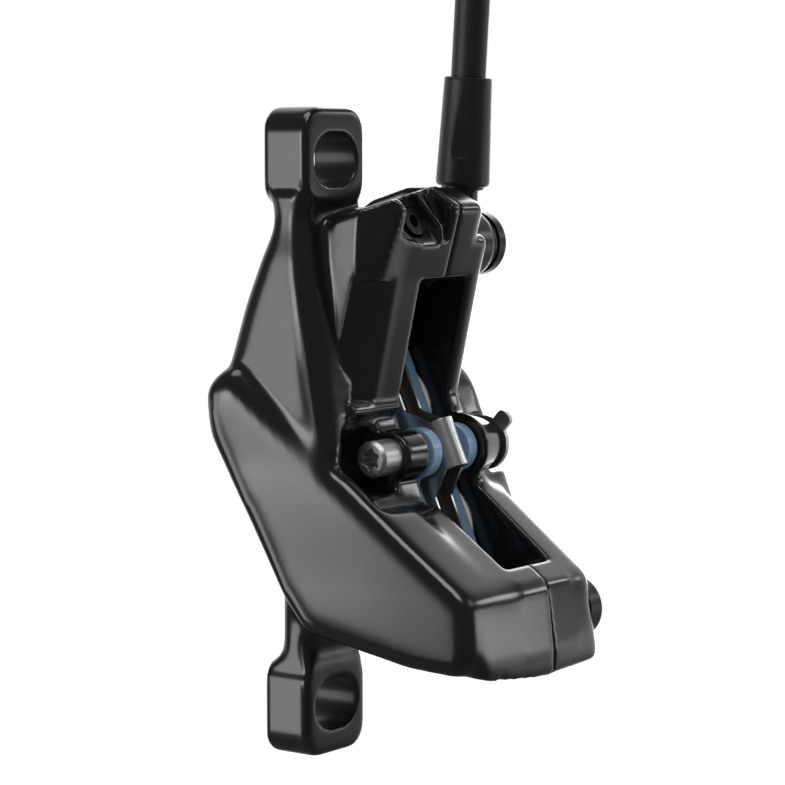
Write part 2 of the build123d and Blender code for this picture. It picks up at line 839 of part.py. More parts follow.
def make_seal(start_x: float, step: float) -> Part:
    """A square-section ring that fills the groove round a piston."""
    start = at_pads(start_x + seal_room, piston_line, step)
    inner = piston_radius + seal_room
    return tube(start, along_x, seal_section - seal_room - seal_room, groove_radius - seal_room, inner)


for level, step in zip(["upper", "lower"], piston_steps):
    write(make_piston(outboard_plate_x, -1, step), f"outboard_{level}_piston")
    write(make_piston(inboard_plate_x, 1, step), f"inboard_{level}_piston")
    write(make_seal(groove_x, step), f"outboard_{level}_seal")
    write(make_seal(inboard_wall_x + seal_inset, step), f"inboard_{level}_seal")


def make_backing_plate(start_x: float) -> Part:
    """A backing plate: rounded body, ear with concave necks, and the pin's hole."""
    ear = pad_ear_radius
    body_half = pad_length / 2
    with BuildPart() as plate:
        with BuildSketch(pad_plane(start_x)) as face:
            with BuildLine():
                Polyline(
                    (0, ear),
                    (pad_outer, ear),
                    (pad_outer, body_half),
                    (pad_inner, body_half),
                    (pad_inner, -body_half),
                    (pad_outer, -body_half),
                    (pad_outer, -ear),
                    (0, -ear),
                )
                ThreePointArc((0, -ear), (-ear, 0), (0, ear))
            make_face()
            necks = [v for v in face.vertices() if abs(abs(v.Y) - ear) < pad_neck_radius and v.X > 0]
            corners = [v for v in face.vertices() if abs(v.Y) > ear + pad_corner_radius]
            fillet(necks, radius=pad_neck_radius)
            fillet(corners, radius=pad_corner_radius)
            Circle(pin_radius + pad_hole_clearance, mode=Mode.SUBTRACT)
        extrude(amount=plate_thickness)
    return plate.part


def make_friction(start_x: float) -> Part:
    """A friction pad with a groove across its middle."""
    with BuildPart() as lining:
        with BuildSketch(pad_plane(start_x)):
            with Locations(((friction_outer + friction_inner) / 2, 0)):
                RectangleRounded(friction_inner - friction_outer, friction_length, pad_corner_radius)
        extrude(amount=friction_thickness)
    return lining.part


def cut_groove(lining: Part, face_x: float) -> Part:
    """Cut the lining's groove from the face that meets the rotor."""
    with BuildPart() as grooved:
        add(lining)
        with BuildSketch(pad_plane(face_x)):
            with Locations(((friction_outer + friction_inner) / 2, 0)):
                Rectangle(friction_inner - friction_outer + overrun, friction_groove)
        extrude(amount=friction_groove / 2, both=True, mode=Mode.SUBTRACT)
    return grooved.part


outboard_friction_x = outboard_plate_x + plate_thickness
inboard_friction_x = inboard_plate_x - plate_thickness - friction_thickness
write(make_backing_plate(outboard_plate_x), "outboard_backing_plate")
write(make_backing_plate(inboard_plate_x - plate_thickness), "inboard_backing_plate")
outboard_lining = make_friction(outboard_friction_x)
write(cut_groove(outboard_lining, outboard_friction_x + friction_thickness), "outboard_friction_pad")
write(cut_groove(make_friction(inboard_friction_x), inboard_friction_x), "inboard_friction_pad")

# Pad pin with its round head, socket, clip groove and tip
clip_x = boss_tip_x + clip_room
pin_tip_x = clip_x + clip_thickness + clip_room + pin_tip_length
groove_floor = pin_radius - pin_groove_depth
with BuildPart() as pad_pin:
    with BuildSketch(pad_plane(head_end_x)):
        Circle(pin_radius)
    extrude(amount=pin_tip_x - head_end_x)
    chamfer(pad_pin.faces().sort_by(Axis.X)[-1].edges(), length=pin_tip_chamfer)
    with BuildSketch(pad_plane(pin_head_x)):
        Circle(pin_head_radius)
    extrude(amount=pin_head_length)
    chamfer(pad_pin.faces().sort_by(Axis.X)[0].edges(), length=pin_head_chamfer)
    with BuildSketch(pad_plane(pin_head_x)):
        Circle(pin_socket_radius)
        with PolarLocations(pin_socket_radius, 6):
            Circle(pin_lobe_radius)
    extrude(amount=pin_socket_depth, mode=Mode.SUBTRACT)
    with BuildSketch(pad_plane(clip_x - clip_room)):
        Circle(pin_radius + overrun)
        Circle(groove_floor, mode=Mode.SUBTRACT)
    extrude(amount=clip_thickness + clip_room + clip_room, mode=Mode.SUBTRACT)
write(pad_pin.part, "pad_pin")

# Clip in the pin's groove: an open ring with a tab that a finger or plier pulls
with BuildPart() as pin_clip:
    with BuildSketch(pad_plane(clip_x)):
        Circle(clip_radius)
        with Locations(Location((0, 0, 0), (0, 0, 180 - pad_tilt))):
            with Locations((clip_tab_reach / 2, 0)):
                RectangleRounded(clip_tab_reach, clip_tab_width, clip_tab_width / 3)
            with Locations((-clip_radius, 0)):
                Rectangle(clip_radius + clip_radius, groove_floor + groove_floor, mode=Mode.SUBTRACT)
        Circle(groove_floor + clip_room, mode=Mode.SUBTRACT)
    extrude(amount=clip_thickness)
write(pin_clip.part, "pin_clip")

# Pad spring: one bent sheet, an arched saddle over the pin between two leaves beside the linings
spring_half = rotor_offset - outboard_plate_x - plate_thickness - pad_travel - spring_side_room
leg_line = friction_outer - spring_edge_room
saddle_foot = spring_half - spring_crown
leaf_half = [
    (saddle_foot, spring_saddle_half),
    (leg_line - spring_leg_width, spring_knee),
    (leg_line - spring_leg_width, spring_leg_end),
    (leg_line, spring_leg_end),
]
leaf_edge = leaf_half + [(a, -b) for a, b in reversed(leaf_half)]
saddle_start = at_pads(rotor_offset, 0, -spring_saddle_half)
with BuildPart() as pad_spring:
    with BuildSketch(Plane(origin=saddle_start, x_dir=along_x, z_dir=tangent_up)):
        with Locations((0, saddle_foot)):
            Circle(spring_half)
            Circle(spring_half - spring_thickness, mode=Mode.SUBTRACT)
            Rectangle(spring_half * 2, spring_half, align=(Align.CENTER, Align.MIN), mode=Mode.SUBTRACT)
    extrude(amount=spring_saddle_half + spring_saddle_half)
    for leaf_x in (rotor_offset - spring_half, rotor_offset + spring_half - spring_thickness):
        with BuildSketch(pad_plane(leaf_x)) as leaf:
            with BuildLine():
                Polyline(*leaf_edge, close=True)
            make_face()
            fillet([v for v in leaf.vertices() if abs(v.Y) > spring_saddle_half + spring_corner], radius=spring_corner)
        extrude(amount=spring_thickness)
    # Holes for the pin
    with BuildSketch(pad_plane(rotor_offset - spring_half - overrun)):
        Circle(pin_radius + spring_pin_room)
    extrude(amount=(spring_half + overrun) * 2, mode=Mode.SUBTRACT)
write(pad_spring.part, "pad_spring")

# Banjo: eye round its bolt, neck, collar and the barbed stem inside the hose
hose_point = banjo_point + along_x * (banjo_eye_x + banjo_eye_width / 2 + neck_offset)
collar_start = hose_point + hose_way * (neck_length - neck_collar_length)
collar_end = hose_point + hose_way * neck_length
stem_end = collar_end + hose_way * stem_length
eye_start = banjo_point + along_x * banjo_eye_x
with BuildPart() as banjo_fitting:
    with BuildSketch(Plane(origin=eye_start, z_dir=along_x)):
        Circle(banjo_eye_radius)
    extrude(amount=banjo_eye_width)
    fillet(banjo_fitting.edges().filter_by(GeomType.CIRCLE), radius=banjo_eye_round)
    add(drill(hose_point, collar_end, neck_radius))
    add(drill(collar_start, collar_end, crimp_radius))
    add(drill(collar_end, stem_end, hose_bore_radius - hose_fit - stem_barb_height))
    for place in range(stem_barb_count):
        barb_start = collar_end + hose_way * (overrun + place * stem_barb_length)
        with BuildSketch(Plane(origin=barb_start, z_dir=hose_way)):
            Circle(hose_bore_radius - hose_fit)
        extrude(amount=stem_barb_length / 2)
    # Bolt's hole, the gallery round the bolt, and the duct up to the hose
    eye_end = eye_start + along_x * banjo_eye_width
    add(drill(eye_start, eye_end, banjo_bolt_radius + banjo_bore_clearance), mode=Mode.SUBTRACT)
    gallery_start = eye_start + along_x * (banjo_eye_width - banjo_gallery_width) / 2
    gallery = tube(gallery_start, along_x, banjo_gallery_width, banjo_gallery_radius, banjo_bolt_radius)
    add(gallery, mode=Mode.SUBTRACT)
    add(drill(hose_point, stem_end, stem_bore_radius), mode=Mode.SUBTRACT)
write(banjo_fitting.part, "banjo_fitting")

# Banjo bolt: it clamps the eye and the halves, and is drilled for the fluid
banjo_tip = banjo_point + along_x * banjo_tip_x
banjo_head = banjo_point + along_x * banjo_head_x
with BuildPart() as banjo_bolt:
    add(drill(banjo_tip, banjo_head, banjo_bolt_radius))
    with BuildSketch(Plane(origin=banjo_head, z_dir=along_x)):
        Circle(banjo_head_radius)
    extrude(amount=banjo_head_length)
    chamfer(banjo_bolt.faces().sort_by(Axis.X)[-1].edges(), length=banjo_head_chamfer)
    with BuildSketch(Plane(origin=banjo_head + along_x * banjo_head_length, z_dir=along_x)):
        RegularPolygon(banjo_socket_radius, 6)
    extrude(amount=-banjo_socket_depth, mode=Mode.SUBTRACT)
    eye_middle = eye_start + along_x * banjo_eye_width / 2
    add(drill(banjo_tip, eye_middle + along_x * banjo_duct_radius, banjo_duct_radius), mode=Mode.SUBTRACT)
    cross_reach = Vector(0, 0, banjo_bolt_radius + overrun)
    add(drill(eye_middle - cross_reach, eye_middle + cross_reach, duct_radius), mode=Mode.SUBTRACT)
write(banjo_bolt.part, "banjo_bolt")

# Two sealing washers, one on each side of the eye
washer_inner = banjo_bolt_radius + banjo_bore_clearance
washer_outer = banjo_bolt_radius + washer_width
inner_start = banjo_point + along_x * banjo_seat_x
outer_start = banjo_point + along_x * (banjo_head_x - washer_thickness)
inner_washer = tube(inner_start, along_x, washer_thickness, washer_outer, washer_inner)
outer_washer = tube(outer_start, along_x, washer_thickness, washer_outer, washer_inner)
write(Part() + [inner_washer, outer_washer], "banjo_washers")

# Bleed screw in its seat, with a seal ring under its head
bleed_crown = bleed_seat + recess_normal * bleed_head_length
with BuildPart() as bleed_screw:
    add(drill(bleed_tip, bleed_seat + recess_normal * bleed_ring_section, bleed_thread_radius))
    add(drill(bleed_seat + recess_normal * bleed_ring_section, bleed_crown, bleed_radius))
    with BuildSketch(Plane(origin=bleed_crown, x_dir=along_x, z_dir=recess_normal)):
        RegularPolygon(bleed_socket_radius, 6)
    extrude(amount=-bleed_socket_depth, mode=Mode.SUBTRACT)
write(bleed_screw.part, "bleed_screw")
bleed_neck = bleed_thread_radius + thread_clearance
bleed_seal = tube(bleed_seat, recess_normal, bleed_ring_section, bleed_radius, bleed_neck)
write(bleed_seal, "bleed_seal")

# Crimp sleeve round the hose end
crimp_sleeve = tube(collar_end, hose_way, crimp_length, crimp_radius, hose_radius + hose_fit)
write(crimp_sleeve, "crimp_sleeve")

# Boot over the sleeve, with a round-bottomed flat on its outer side
boot_start = collar_end - hose_way * boot_overlap
boot_step = collar_end + hose_way * (crimp_length + boot_overlap)
boot_end = boot_start + hose_way * boot_length
flat_angle = math.radians(boot_flat_angle)
flat_way = Vector(-math.sin(flat_angle), -math.cos(flat_angle), 0)
flat_normal = (flat_way - hose_way * flat_way.dot(hose_way)).normalized()
flat_side = hose_way.cross(flat_normal)
with BuildPart() as hose_boot:
    with BuildSketch(Plane(origin=boot_start, x_dir=along_x, z_dir=hose_way)):
        Circle(boot_radius)
    with BuildSketch(Plane(origin=boot_end, x_dir=along_x, z_dir=hose_way)):
        Circle(boot_top_radius)
    loft()
    fillet(hose_boot.faces().sort_by(Axis.Z)[0].edges(), radius=boot_foot_round)
    add(drill(boot_start - hose_way * overrun, boot_step, crimp_radius + boot_fit), mode=Mode.SUBTRACT)
    add(drill(boot_start, boot_end + hose_way * overrun, hose_radius + boot_fit), mode=Mode.SUBTRACT)
    flat_origin = boot_start + hose_way * boot_flat_start + flat_normal * (boot_radius - boot_flat_depth)
    with BuildSketch(Plane(origin=flat_origin, x_dir=flat_side, z_dir=flat_normal)):
        with Locations((0, boot_length / 2)):
            RectangleRounded(boot_flat_width, boot_length, boot_flat_width / 3)
    extrude(amount=overrun, mode=Mode.SUBTRACT)
write(hose_boot.part, "hose_boot")

# Hose from the collar to its coil, one straight stretch
hose_end = hose_point + hose_way * hose_run
hose = tube(collar_end, hose_way, (hose_end - collar_end).length, hose_radius, hose_bore_radius)
write(hose, "hose")


def coil_point(quarter: float) -> Vector:
    """A point of the coil's centre line, counted in quarter turns from its start."""
    angle = quarter * math.pi / 2
    shift = -coil_pitch * quarter / 4
    if quarter >= coil_turns * 4:
        shift = shift - coil_exit_step + coil_pitch / 4
    middle = coil_start + coil_way * coil_radius + along_x * shift
    return middle - coil_way * (coil_radius * math.cos(angle)) + hose_way * (coil_radius * math.sin(angle))


def coil_tangent(quarter: float) -> Vector:
    """The direction of the coil's centre line at a quarter turn; both ends run along the hose."""
    if quarter <= 0 or quarter >= coil_turns * 4:
        return hose_way
    angle = quarter * math.pi / 2
    climb = along_x * (-coil_pitch / (2 * math.pi * coil_radius))
    return (coil_way * math.sin(angle) + hose_way * math.cos(angle) + climb).normalized()


def biarc_joint(start: Vector, start_way: Vector, end: Vector, end_way: Vector) -> Vector:
    """The point where two tangent arcs from one end to the other meet."""
    span = end - start
    total = start_way + end_way
    square = 2 * (1 - start_way.dot(end_way))
    linear = 2 * span.dot(total)
    reach = (-linear + math.sqrt(linear * linear + 4 * square * span.dot(span))) / (2 * square)
    return (start + start_way * reach + end - end_way * reach) / 2


coil_start = hose_end + hose_way * coil_lead
quarters = coil_turns * 4
coil_end = coil_point(quarters)
tail_end = coil_end + hose_way * coil_tail
with BuildPart() as hose_coil:
    with BuildLine() as coil_line:
        Line(hose_end, coil_start)
        for quarter in range(quarters):
            start, end = coil_point(quarter), coil_point(quarter + 1)
            joint = biarc_joint(start, coil_tangent(quarter), end, coil_tangent(quarter + 1))
            first = TangentArc(start, joint, tangent=coil_tangent(quarter))
            TangentArc(joint, end, tangent=first % 1)
        Line(coil_end, tail_end)
    with BuildSketch(Plane(origin=hose_end, z_dir=hose_way)):
        Circle(hose_radius)
    sweep()
write(hose_coil.part, "hose_coil")

# Ties that hold the coil's turns together
tie_half_width = coil_pitch * (coil_turns - 1) / 2 + hose_radius + tie_room
tie_half_height = hose_radius + tie_room


def make_tie(degrees: float) -> Part:
    """A band round the coil's turns at one angle of the coil."""
    angle = math.radians(degrees)
    out_way = (hose_way * math.sin(angle) - coil_way * math.cos(angle)).normalized()
    turn_way = (coil_way * math.sin(angle) + hose_way * math.cos(angle)).normalized()
    shift = -coil_pitch * (degrees / 360 + (coil_turns - 1) / 2)
    middle = coil_start + coil_way * coil_radius + out_way * coil_radius + along_x * shift
    with BuildPart() as tie:
        with BuildSketch(Plane(origin=middle - turn_way * tie_width / 2, x_dir=along_x, z_dir=turn_way)):
            RectangleRounded(
                (tie_half_width + tie_thickness) * 2,
                (tie_half_height + tie_thickness) * 2,
                tie_round + tie_thickness,
            )
            RectangleRounded(tie_half_width * 2, tie_half_height * 2, tie_round, mode=Mode.SUBTRACT)
        extrude(amount=tie_width)
    return tie.part


write(Part() + [make_tie(degrees) for degrees in tie_angles], "coil_ties")

# Lever end of the hose: compression nut, olive and barbed insert
nut_start = tail_end - hose_way * (nut_hex_length + nut_thread_length + olive_length + nut_gap)
nut_shoulder = nut_start + hose_way * nut_hex_length
olive_start = nut_shoulder + hose_way * (nut_thread_length + nut_gap)
with BuildPart() as lever_nut:
    with BuildSketch(Plane(origin=nut_start, x_dir=along_x, z_dir=hose_way)):
        RegularPolygon(nut_radius, 6)
    extrude(amount=nut_hex_length)
    chamfer(lever_nut.faces().sort_by(Axis.Z)[0].edges(), length=nut_gap * 3)
    add(drill(nut_shoulder, nut_shoulder + hose_way * nut_thread_length, nut_thread_radius))
    nut_end = nut_shoulder + hose_way * (nut_thread_length + overrun)
    add(drill(nut_start - hose_way * overrun, nut_end, hose_radius + boot_fit), mode=Mode.SUBTRACT)
write(lever_nut.part, "lever_nut")

with BuildPart() as lever_olive:
    add(tube(olive_start, hose_way, olive_length, olive_radius, hose_radius + hose_fit))
    chamfer(lever_olive.edges().filter_by(GeomType.CIRCLE).group_by(SortBy.RADIUS)[-1], length=olive_round)
write(lever_olive.part, "lever_olive")

with BuildPart() as lever_insert:
    add(drill(tail_end, tail_end + hose_way * insert_flange_length, insert_flange_radius))
    add(drill(tail_end, tail_end + hose_way * insert_flange_length, stem_bore_radius), mode=Mode.SUBTRACT)
write(lever_insert.part, "lever_insert")

# The coil's least gap to itself, on points of its centre line, and its volume against its length
coil_wire = coil_line.wire()
samples = [coil_wire.position_at(i / 1200) for i in range(1201)]
spacing = coil_wire.length / 1200
skip = int(math.pi * hose_radius * 4 / spacing)
least = min(
    (samples[i] - samples[j]).length
    for i in range(0, 1201, 2)
    for j in range(i + skip, 1201, 2)
)
print("coil length", round(coil_wire.length, 1), "least gap", round(least - 2 * hose_radius, 2))
print("coil volume share", round(hose_coil.part.volume / (math.pi * hose_radius**2 * coil_wire.length), 4))
print("whole hose", round(coil_wire.length + (hose_end - collar_end).length, 1))
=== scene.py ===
"""Looks of a hydraulic post-mount disc brake caliper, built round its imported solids."""

from __future__ import annotations

import logging
import math
from dataclasses import dataclass, field
from enum import Enum
from typing import Mapping, Sequence, Union

import bpy
import numpy as np
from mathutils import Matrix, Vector

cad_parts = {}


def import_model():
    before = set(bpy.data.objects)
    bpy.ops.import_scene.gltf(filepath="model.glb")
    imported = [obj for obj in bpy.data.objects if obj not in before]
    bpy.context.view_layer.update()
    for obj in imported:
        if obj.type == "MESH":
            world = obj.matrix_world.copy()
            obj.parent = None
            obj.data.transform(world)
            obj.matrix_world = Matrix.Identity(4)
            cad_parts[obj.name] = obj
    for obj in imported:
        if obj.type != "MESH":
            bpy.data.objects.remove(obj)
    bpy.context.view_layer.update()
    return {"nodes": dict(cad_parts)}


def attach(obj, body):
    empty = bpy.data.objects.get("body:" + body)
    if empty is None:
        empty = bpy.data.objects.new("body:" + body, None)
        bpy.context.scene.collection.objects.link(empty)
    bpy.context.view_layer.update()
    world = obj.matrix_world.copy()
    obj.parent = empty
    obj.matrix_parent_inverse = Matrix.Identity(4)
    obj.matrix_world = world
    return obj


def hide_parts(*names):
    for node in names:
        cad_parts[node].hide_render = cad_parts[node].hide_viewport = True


LOG = logging.getLogger("caliper")
MM = 0.001
Colour = tuple[float, float, float]
Term = Union["Signal", float, int]


class Kind(Enum):
    """What a socket carries, which decides the nodes that its maths uses."""

    NUMBER = "number"
    VECTOR = "vector"
    COLOUR = "colour"


class Signal:
    """A shader socket that takes part in Python expressions."""

    def __init__(self, graph: "Graph", socket: bpy.types.NodeSocket | None, kind: Kind = Kind.NUMBER) -> None:
        """Keeps the socket and the graph that it belongs to."""
        self.graph = graph
        self.socket = socket
        self.kind = kind

    def _join(self, operation: str, *terms: Term) -> "Signal":
        """Adds the node that works on these terms.

        Args:
            operation: Math or Vector Math operation.
            terms: The values in order, signals or numbers.

        Returns:
            The node's result.
        """
        if Kind.VECTOR in [t.kind for t in terms if isinstance(t, Signal)]:
            spread = [t if isinstance(t, Signal) else (t, t, t) for t in terms]
            settings = {"operation": operation}
            return self.graph.add("ShaderNodeVectorMath", settings, dict(enumerate(spread)), kind=Kind.VECTOR)
        return self.graph.add("ShaderNodeMath", {"operation": operation}, dict(enumerate(terms)))

    def __add__(self, other: Term) -> "Signal":
        """Sum."""
        return self._join("ADD", self, other)

    def __radd__(self, other: Term) -> "Signal":
        """Sum, from the right."""
        return self._join("ADD", other, self)

    def __sub__(self, other: Term) -> "Signal":
        """Difference."""
        return self._join("SUBTRACT", self, other)

    def __rsub__(self, other: Term) -> "Signal":
        """Difference, from the right."""
        return self._join("SUBTRACT", other, self)

    def __mul__(self, other: Term) -> "Signal":
        """Product."""
        return self._join("MULTIPLY", self, other)

    def __rmul__(self, other: Term) -> "Signal":
        """Product, from the right."""
        return self._join("MULTIPLY", other, self)

    def __truediv__(self, other: Term) -> "Signal":
        """Quotient."""
        return self._join("DIVIDE", self, other)

    def __rtruediv__(self, other: Term) -> "Signal":
        """Quotient, from the right."""
        return self._join("DIVIDE", other, self)

    def __pow__(self, power: Term) -> "Signal":
        """Power."""
        return self._join("POWER", self, power)

    def highest(self, other: Term) -> "Signal":
        """The larger of the two."""
        return self._join("MAXIMUM", self, other)

    def lowest(self, other: Term) -> "Signal":
        """The smaller of the two."""
        return self._join("MINIMUM", self, other)

    def size(self) -> "Signal":
        """The value without its sign."""
        return self._join("ABSOLUTE", self)

    def rise(self, low: float, high: float) -> "Signal":
        """A smooth step.

        Args:
            low: Where the step starts from 0.
            high: Where it reaches 1.

        Returns:
            The step's height.
        """
        if low > high:
            return 1.0 - self.rise(high, low)
        sockets = {"Value": self, "From Min": low, "From Max": high}
        return self.graph.add("ShaderNodeMapRange", {"interpolation_type": "SMOOTHSTEP"}, sockets)

    def along(self, way: Sequence[float]) -> "Signal":
        """The vector's length along a direction."""
        settings = {"operation": "DOT_PRODUCT"}
        return self.graph.add("ShaderNodeVectorMath", settings, {0: self, 1: tuple(way)}, "Value")

    def stretched(self, scale: Colour) -> "Signal":
        """The vector with each part multiplied by its own number."""
        settings = {"operation": "MULTIPLY"}
        return self.graph.add("ShaderNodeVectorMath", settings, {0: self, 1: scale}, kind=Kind.VECTOR)

    def tint(self, dark: Colour, light: Colour) -> "Signal":
        """A colour between two, by this value as the share of the second."""
        sockets = {"Factor": self, "A": (*dark, 1.0), "B": (*light, 1.0)}
        return self.graph.add("ShaderNodeMix", {"data_type": "RGBA"}, sockets, "Result", Kind.COLOUR)


class Graph:
    """The node tree of one material."""

    def __init__(self, name: str) -> None:
        """Makes the material with an empty tree."""
        self.material = bpy.data.materials.new(name)
        self.material.use_nodes = True
        self.tree = self.material.node_tree
        self.tree.nodes.clear()

    @classmethod
    def over(cls, tree: bpy.types.NodeTree) -> "Graph":
        """A graph over a tree that exists already, such as the world's."""
        graph = cls.__new__(cls)
        graph.tree = tree
        return graph

    def add(
        self,
        node: str,
        settings: Mapping[str, object] | None = None,
        sockets: Mapping[Union[str, int], object] | None = None,
        output: Union[str, int] = 0,
        kind: Kind = Kind.NUMBER,
    ) -> Signal:
        """Adds any node.

        Args:
            node: The node's type.
            settings: Its own settings, set first.
            sockets: Values or signals for its inputs, by name or number.
            output: The output to hand back.
            kind: What that output carries.

        Returns:
            The output as a signal.
        """
        made = self.tree.nodes.new(node)
        for name, value in (settings or {}).items():
            setattr(made, name, value)
        for name, value in (sockets or {}).items():
            socket = self._enabled(made.inputs, name)
            if isinstance(value, Signal):
                self.tree.links.new(value.socket, socket)
            else:
                socket.default_value = value
        return Signal(self, self._enabled(made.outputs, output) if len(made.outputs) else None, kind)

    @staticmethod
    def _enabled(sockets: bpy.types.bpy_prop_collection, name: Union[str, int]) -> bpy.types.NodeSocket:
        """The socket of that name that the node's settings leave in use."""
        if isinstance(name, int):
            return sockets[name]
        return next(s for s in sockets if s.name == name and s.enabled)

    def place(self) -> Signal:
        """The point on the object, in metres of the part's frame."""
        return self.add("ShaderNodeTexCoord", output="Object", kind=Kind.VECTOR)

    def noise(self, place: Signal, size: float, detail: float = 3.0, roughness: float = 0.5) -> Signal:
        """Smooth noise.

        Args:
            place: Where on the object.
            size: The size of a patch in metres.
            detail: How many finer layers it has.
            roughness: How strong those are.

        Returns:
            A value from 0 to 1.
        """
        sockets = {"Vector": place, "Scale": 1.0 / size, "Detail": detail, "Roughness": roughness}
        return self.add("ShaderNodeTexNoise", sockets=sockets)

    def bevel(self, samples: int, radius: float) -> Signal:
        """The normal as if sharp edges were rounded.

        Args:
            samples: How many rays it takes.
            radius: The reach of the rounding in metres.

        Returns:
            The rounded normal.
        """
        return self.add("ShaderNodeBevel", {"samples": samples}, {"Radius": radius}, kind=Kind.VECTOR)

    def edges(self, radius: float) -> Signal:
        """How near a sharp edge is, by the change of the rounded normal.

        Args:
            radius: The reach of the rounding in metres.

        Returns:
            A value from 0 on a flat face to about 1 on an edge.
        """
        rounded = self.bevel(4, radius)
        plain = self.add("ShaderNodeNewGeometry", output="Normal", kind=Kind.VECTOR)
        facing = self.add("ShaderNodeVectorMath", {"operation": "DOT_PRODUCT"}, {0: rounded, 1: plain}, "Value")
        return ((1.0 - facing) * 6.0).lowest(1.0)

    def relief(self, height: Signal, depth: float, strength: float = 1.0, soften: float = 0.0) -> Signal:
        """Turns a height into a normal.

        Args:
            height: The height from 0 to 1.
            depth: What 1 stands for, in metres.
            strength: The bump's strength.
            soften: The radius that sharp edges are rounded to, or 0.

        Returns:
            The normal for the surface.
        """
        sockets: dict[Union[str, int], object] = {"Height": height, "Distance": depth, "Strength": strength}
        if soften:
            sockets["Normal"] = self.bevel(6, soften)
        return self.add("ShaderNodeBump", sockets=sockets, kind=Kind.VECTOR)

    def surface(self, **sockets: object) -> bpy.types.Material:
        """Ends the tree in one surface shader.

        Args:
            sockets: The shader's inputs, with _ for a blank.

        Returns:
            The finished material.
        """
        named = {name.replace("_", " "): value for name, value in sockets.items()}
        shader = self.add("ShaderNodeBsdfPrincipled", sockets=named)
        self.add("ShaderNodeOutputMaterial", sockets={"Surface": shader})
        return self.material


@dataclass(frozen=True)
class Anodised:
    """Gloss black anodising on forged aluminium, with bare satin slot faces."""

    name: str = "gloss_black_anodised"
    slot_height: float = 0.0371
    slot_half_width: float = 0.0036
    slot_half_length: float = 0.0047
    slot_margin: float = 0.35 * MM
    slot_rim: float = 0.10 * MM
    ear_start: float = 0.0302
    ear_full: float = 0.0310
    machining: Colour = (1.0, 14.0, 1.0)
    base: Colour = (0.0055, 0.0055, 0.0060)
    bare: Colour = (0.040, 0.040, 0.042)

    def within(self, distance: Signal, half: float) -> Signal:
        """How far inside the slot's half size a distance lies, from 0 outside to 1 inside."""
        return distance.rise(half + self.slot_margin, half + self.slot_rim)

    def material(self) -> bpy.types.Material:
        """Builds the material."""
        g = Graph(f"{self.name}_finish")
        at = g.place()
        skin = g.noise(at, 1.6 * MM, 4.0, 0.6)
        broad = g.noise(at, 14 * MM, 2.0)
        specks = g.noise(at, 0.30 * MM, 2.0, 0.7)
        out = at.along((1, 0, 0))
        up = at.along((0, 0, 1)).size()
        normal = g.add("ShaderNodeNewGeometry", output="Normal", kind=Kind.VECTOR)
        front = normal.along((0, -1, 0)).rise(0.90, 0.98) * up.rise(self.ear_start, self.ear_full)
        side = 1.0 - normal.along((0, 1, 0)).size().rise(0.35, 0.6)
        across = self.within((up - self.slot_height).size(), self.slot_half_width)
        lengthwise = self.within(out.size(), self.slot_half_length)
        cut = across * lengthwise * side
        streak = g.noise(at.stretched(self.machining), 1.4 * MM, 3.0)
        rough = 0.13 + skin * 0.05 + broad * 0.06 + cut * (0.14 + streak * 0.08) + front * 0.10
        height = skin * 0.55 + specks * (0.25 + front * 1.2) + streak * cut * 0.8
        return g.surface(
            Base_Color=(cut * (0.6 + streak * 0.4) + broad * 0.06).tint(self.base, self.bare),
            Roughness=rough,
            Metallic=cut * 0.5,
            Specular_IOR_Level=0.62,
            Coat_Weight=0.12,
            Coat_Roughness=0.10,
            Normal=g.relief(height, 0.014 * MM, 0.30),
        )


@dataclass(frozen=True)
class Turned:
    """Metal with fine turning lines and rubbed edges."""

    name: str
    base: Colour
    worn: Colour
    roughness: float
    metallic: float
    grain: float = 0.10
    soften: float = 0.12
    turning: Colour = (9.0, 1.0, 1.0)

    def material(self) -> bpy.types.Material:
        """Builds the material."""
        g = Graph(f"{self.name}_finish")
        at = g.place()
        lines = g.noise(at.stretched(self.turning), 1.2 * MM, 4.0, 0.6)
        patch = g.noise(at, 2.5 * MM, 3.0)
        rub = g.edges(0.25 * MM) * patch.rise(0.35, 0.65)
        return g.surface(
            Base_Color=(rub * 0.7 + patch * 0.12).lowest(1.0).tint(self.base, self.worn),
            Roughness=self.roughness + lines * self.grain + patch * 0.06,
            Metallic=self.metallic,
            Normal=g.relief(lines * 0.7 + patch * 0.3, 0.010 * MM, 0.35, self.soften * MM),
        )


@dataclass(frozen=True)
class Coated:
    """A thick even coat on a stamped plate, chipped on its edges."""

    name: str
    base: Colour
    chipped: Colour
    roughness: float

    def material(self) -> bpy.types.Material:
        """Builds the material."""
        g = Graph(f"{self.name}_finish")
        at = g.place()
        orange = g.noise(at, 0.5 * MM, 3.0, 0.6)
        patch = g.noise(at, 5 * MM, 3.0)
        chips = g.edges(0.2 * MM) * g.noise(at, 0.9 * MM, 4.0, 0.7).rise(0.55, 0.62)
        return g.surface(
            Base_Color=(chips * 0.9 + patch * 0.10).lowest(1.0).tint(self.base, self.chipped),
            Roughness=self.roughness + orange * 0.12 + chips * 0.1,
            Metallic=chips * 0.8,
            Coat_Weight=0.15,
            Normal=g.relief(orange, 0.02 * MM, 0.4, 0.12 * MM),
        )


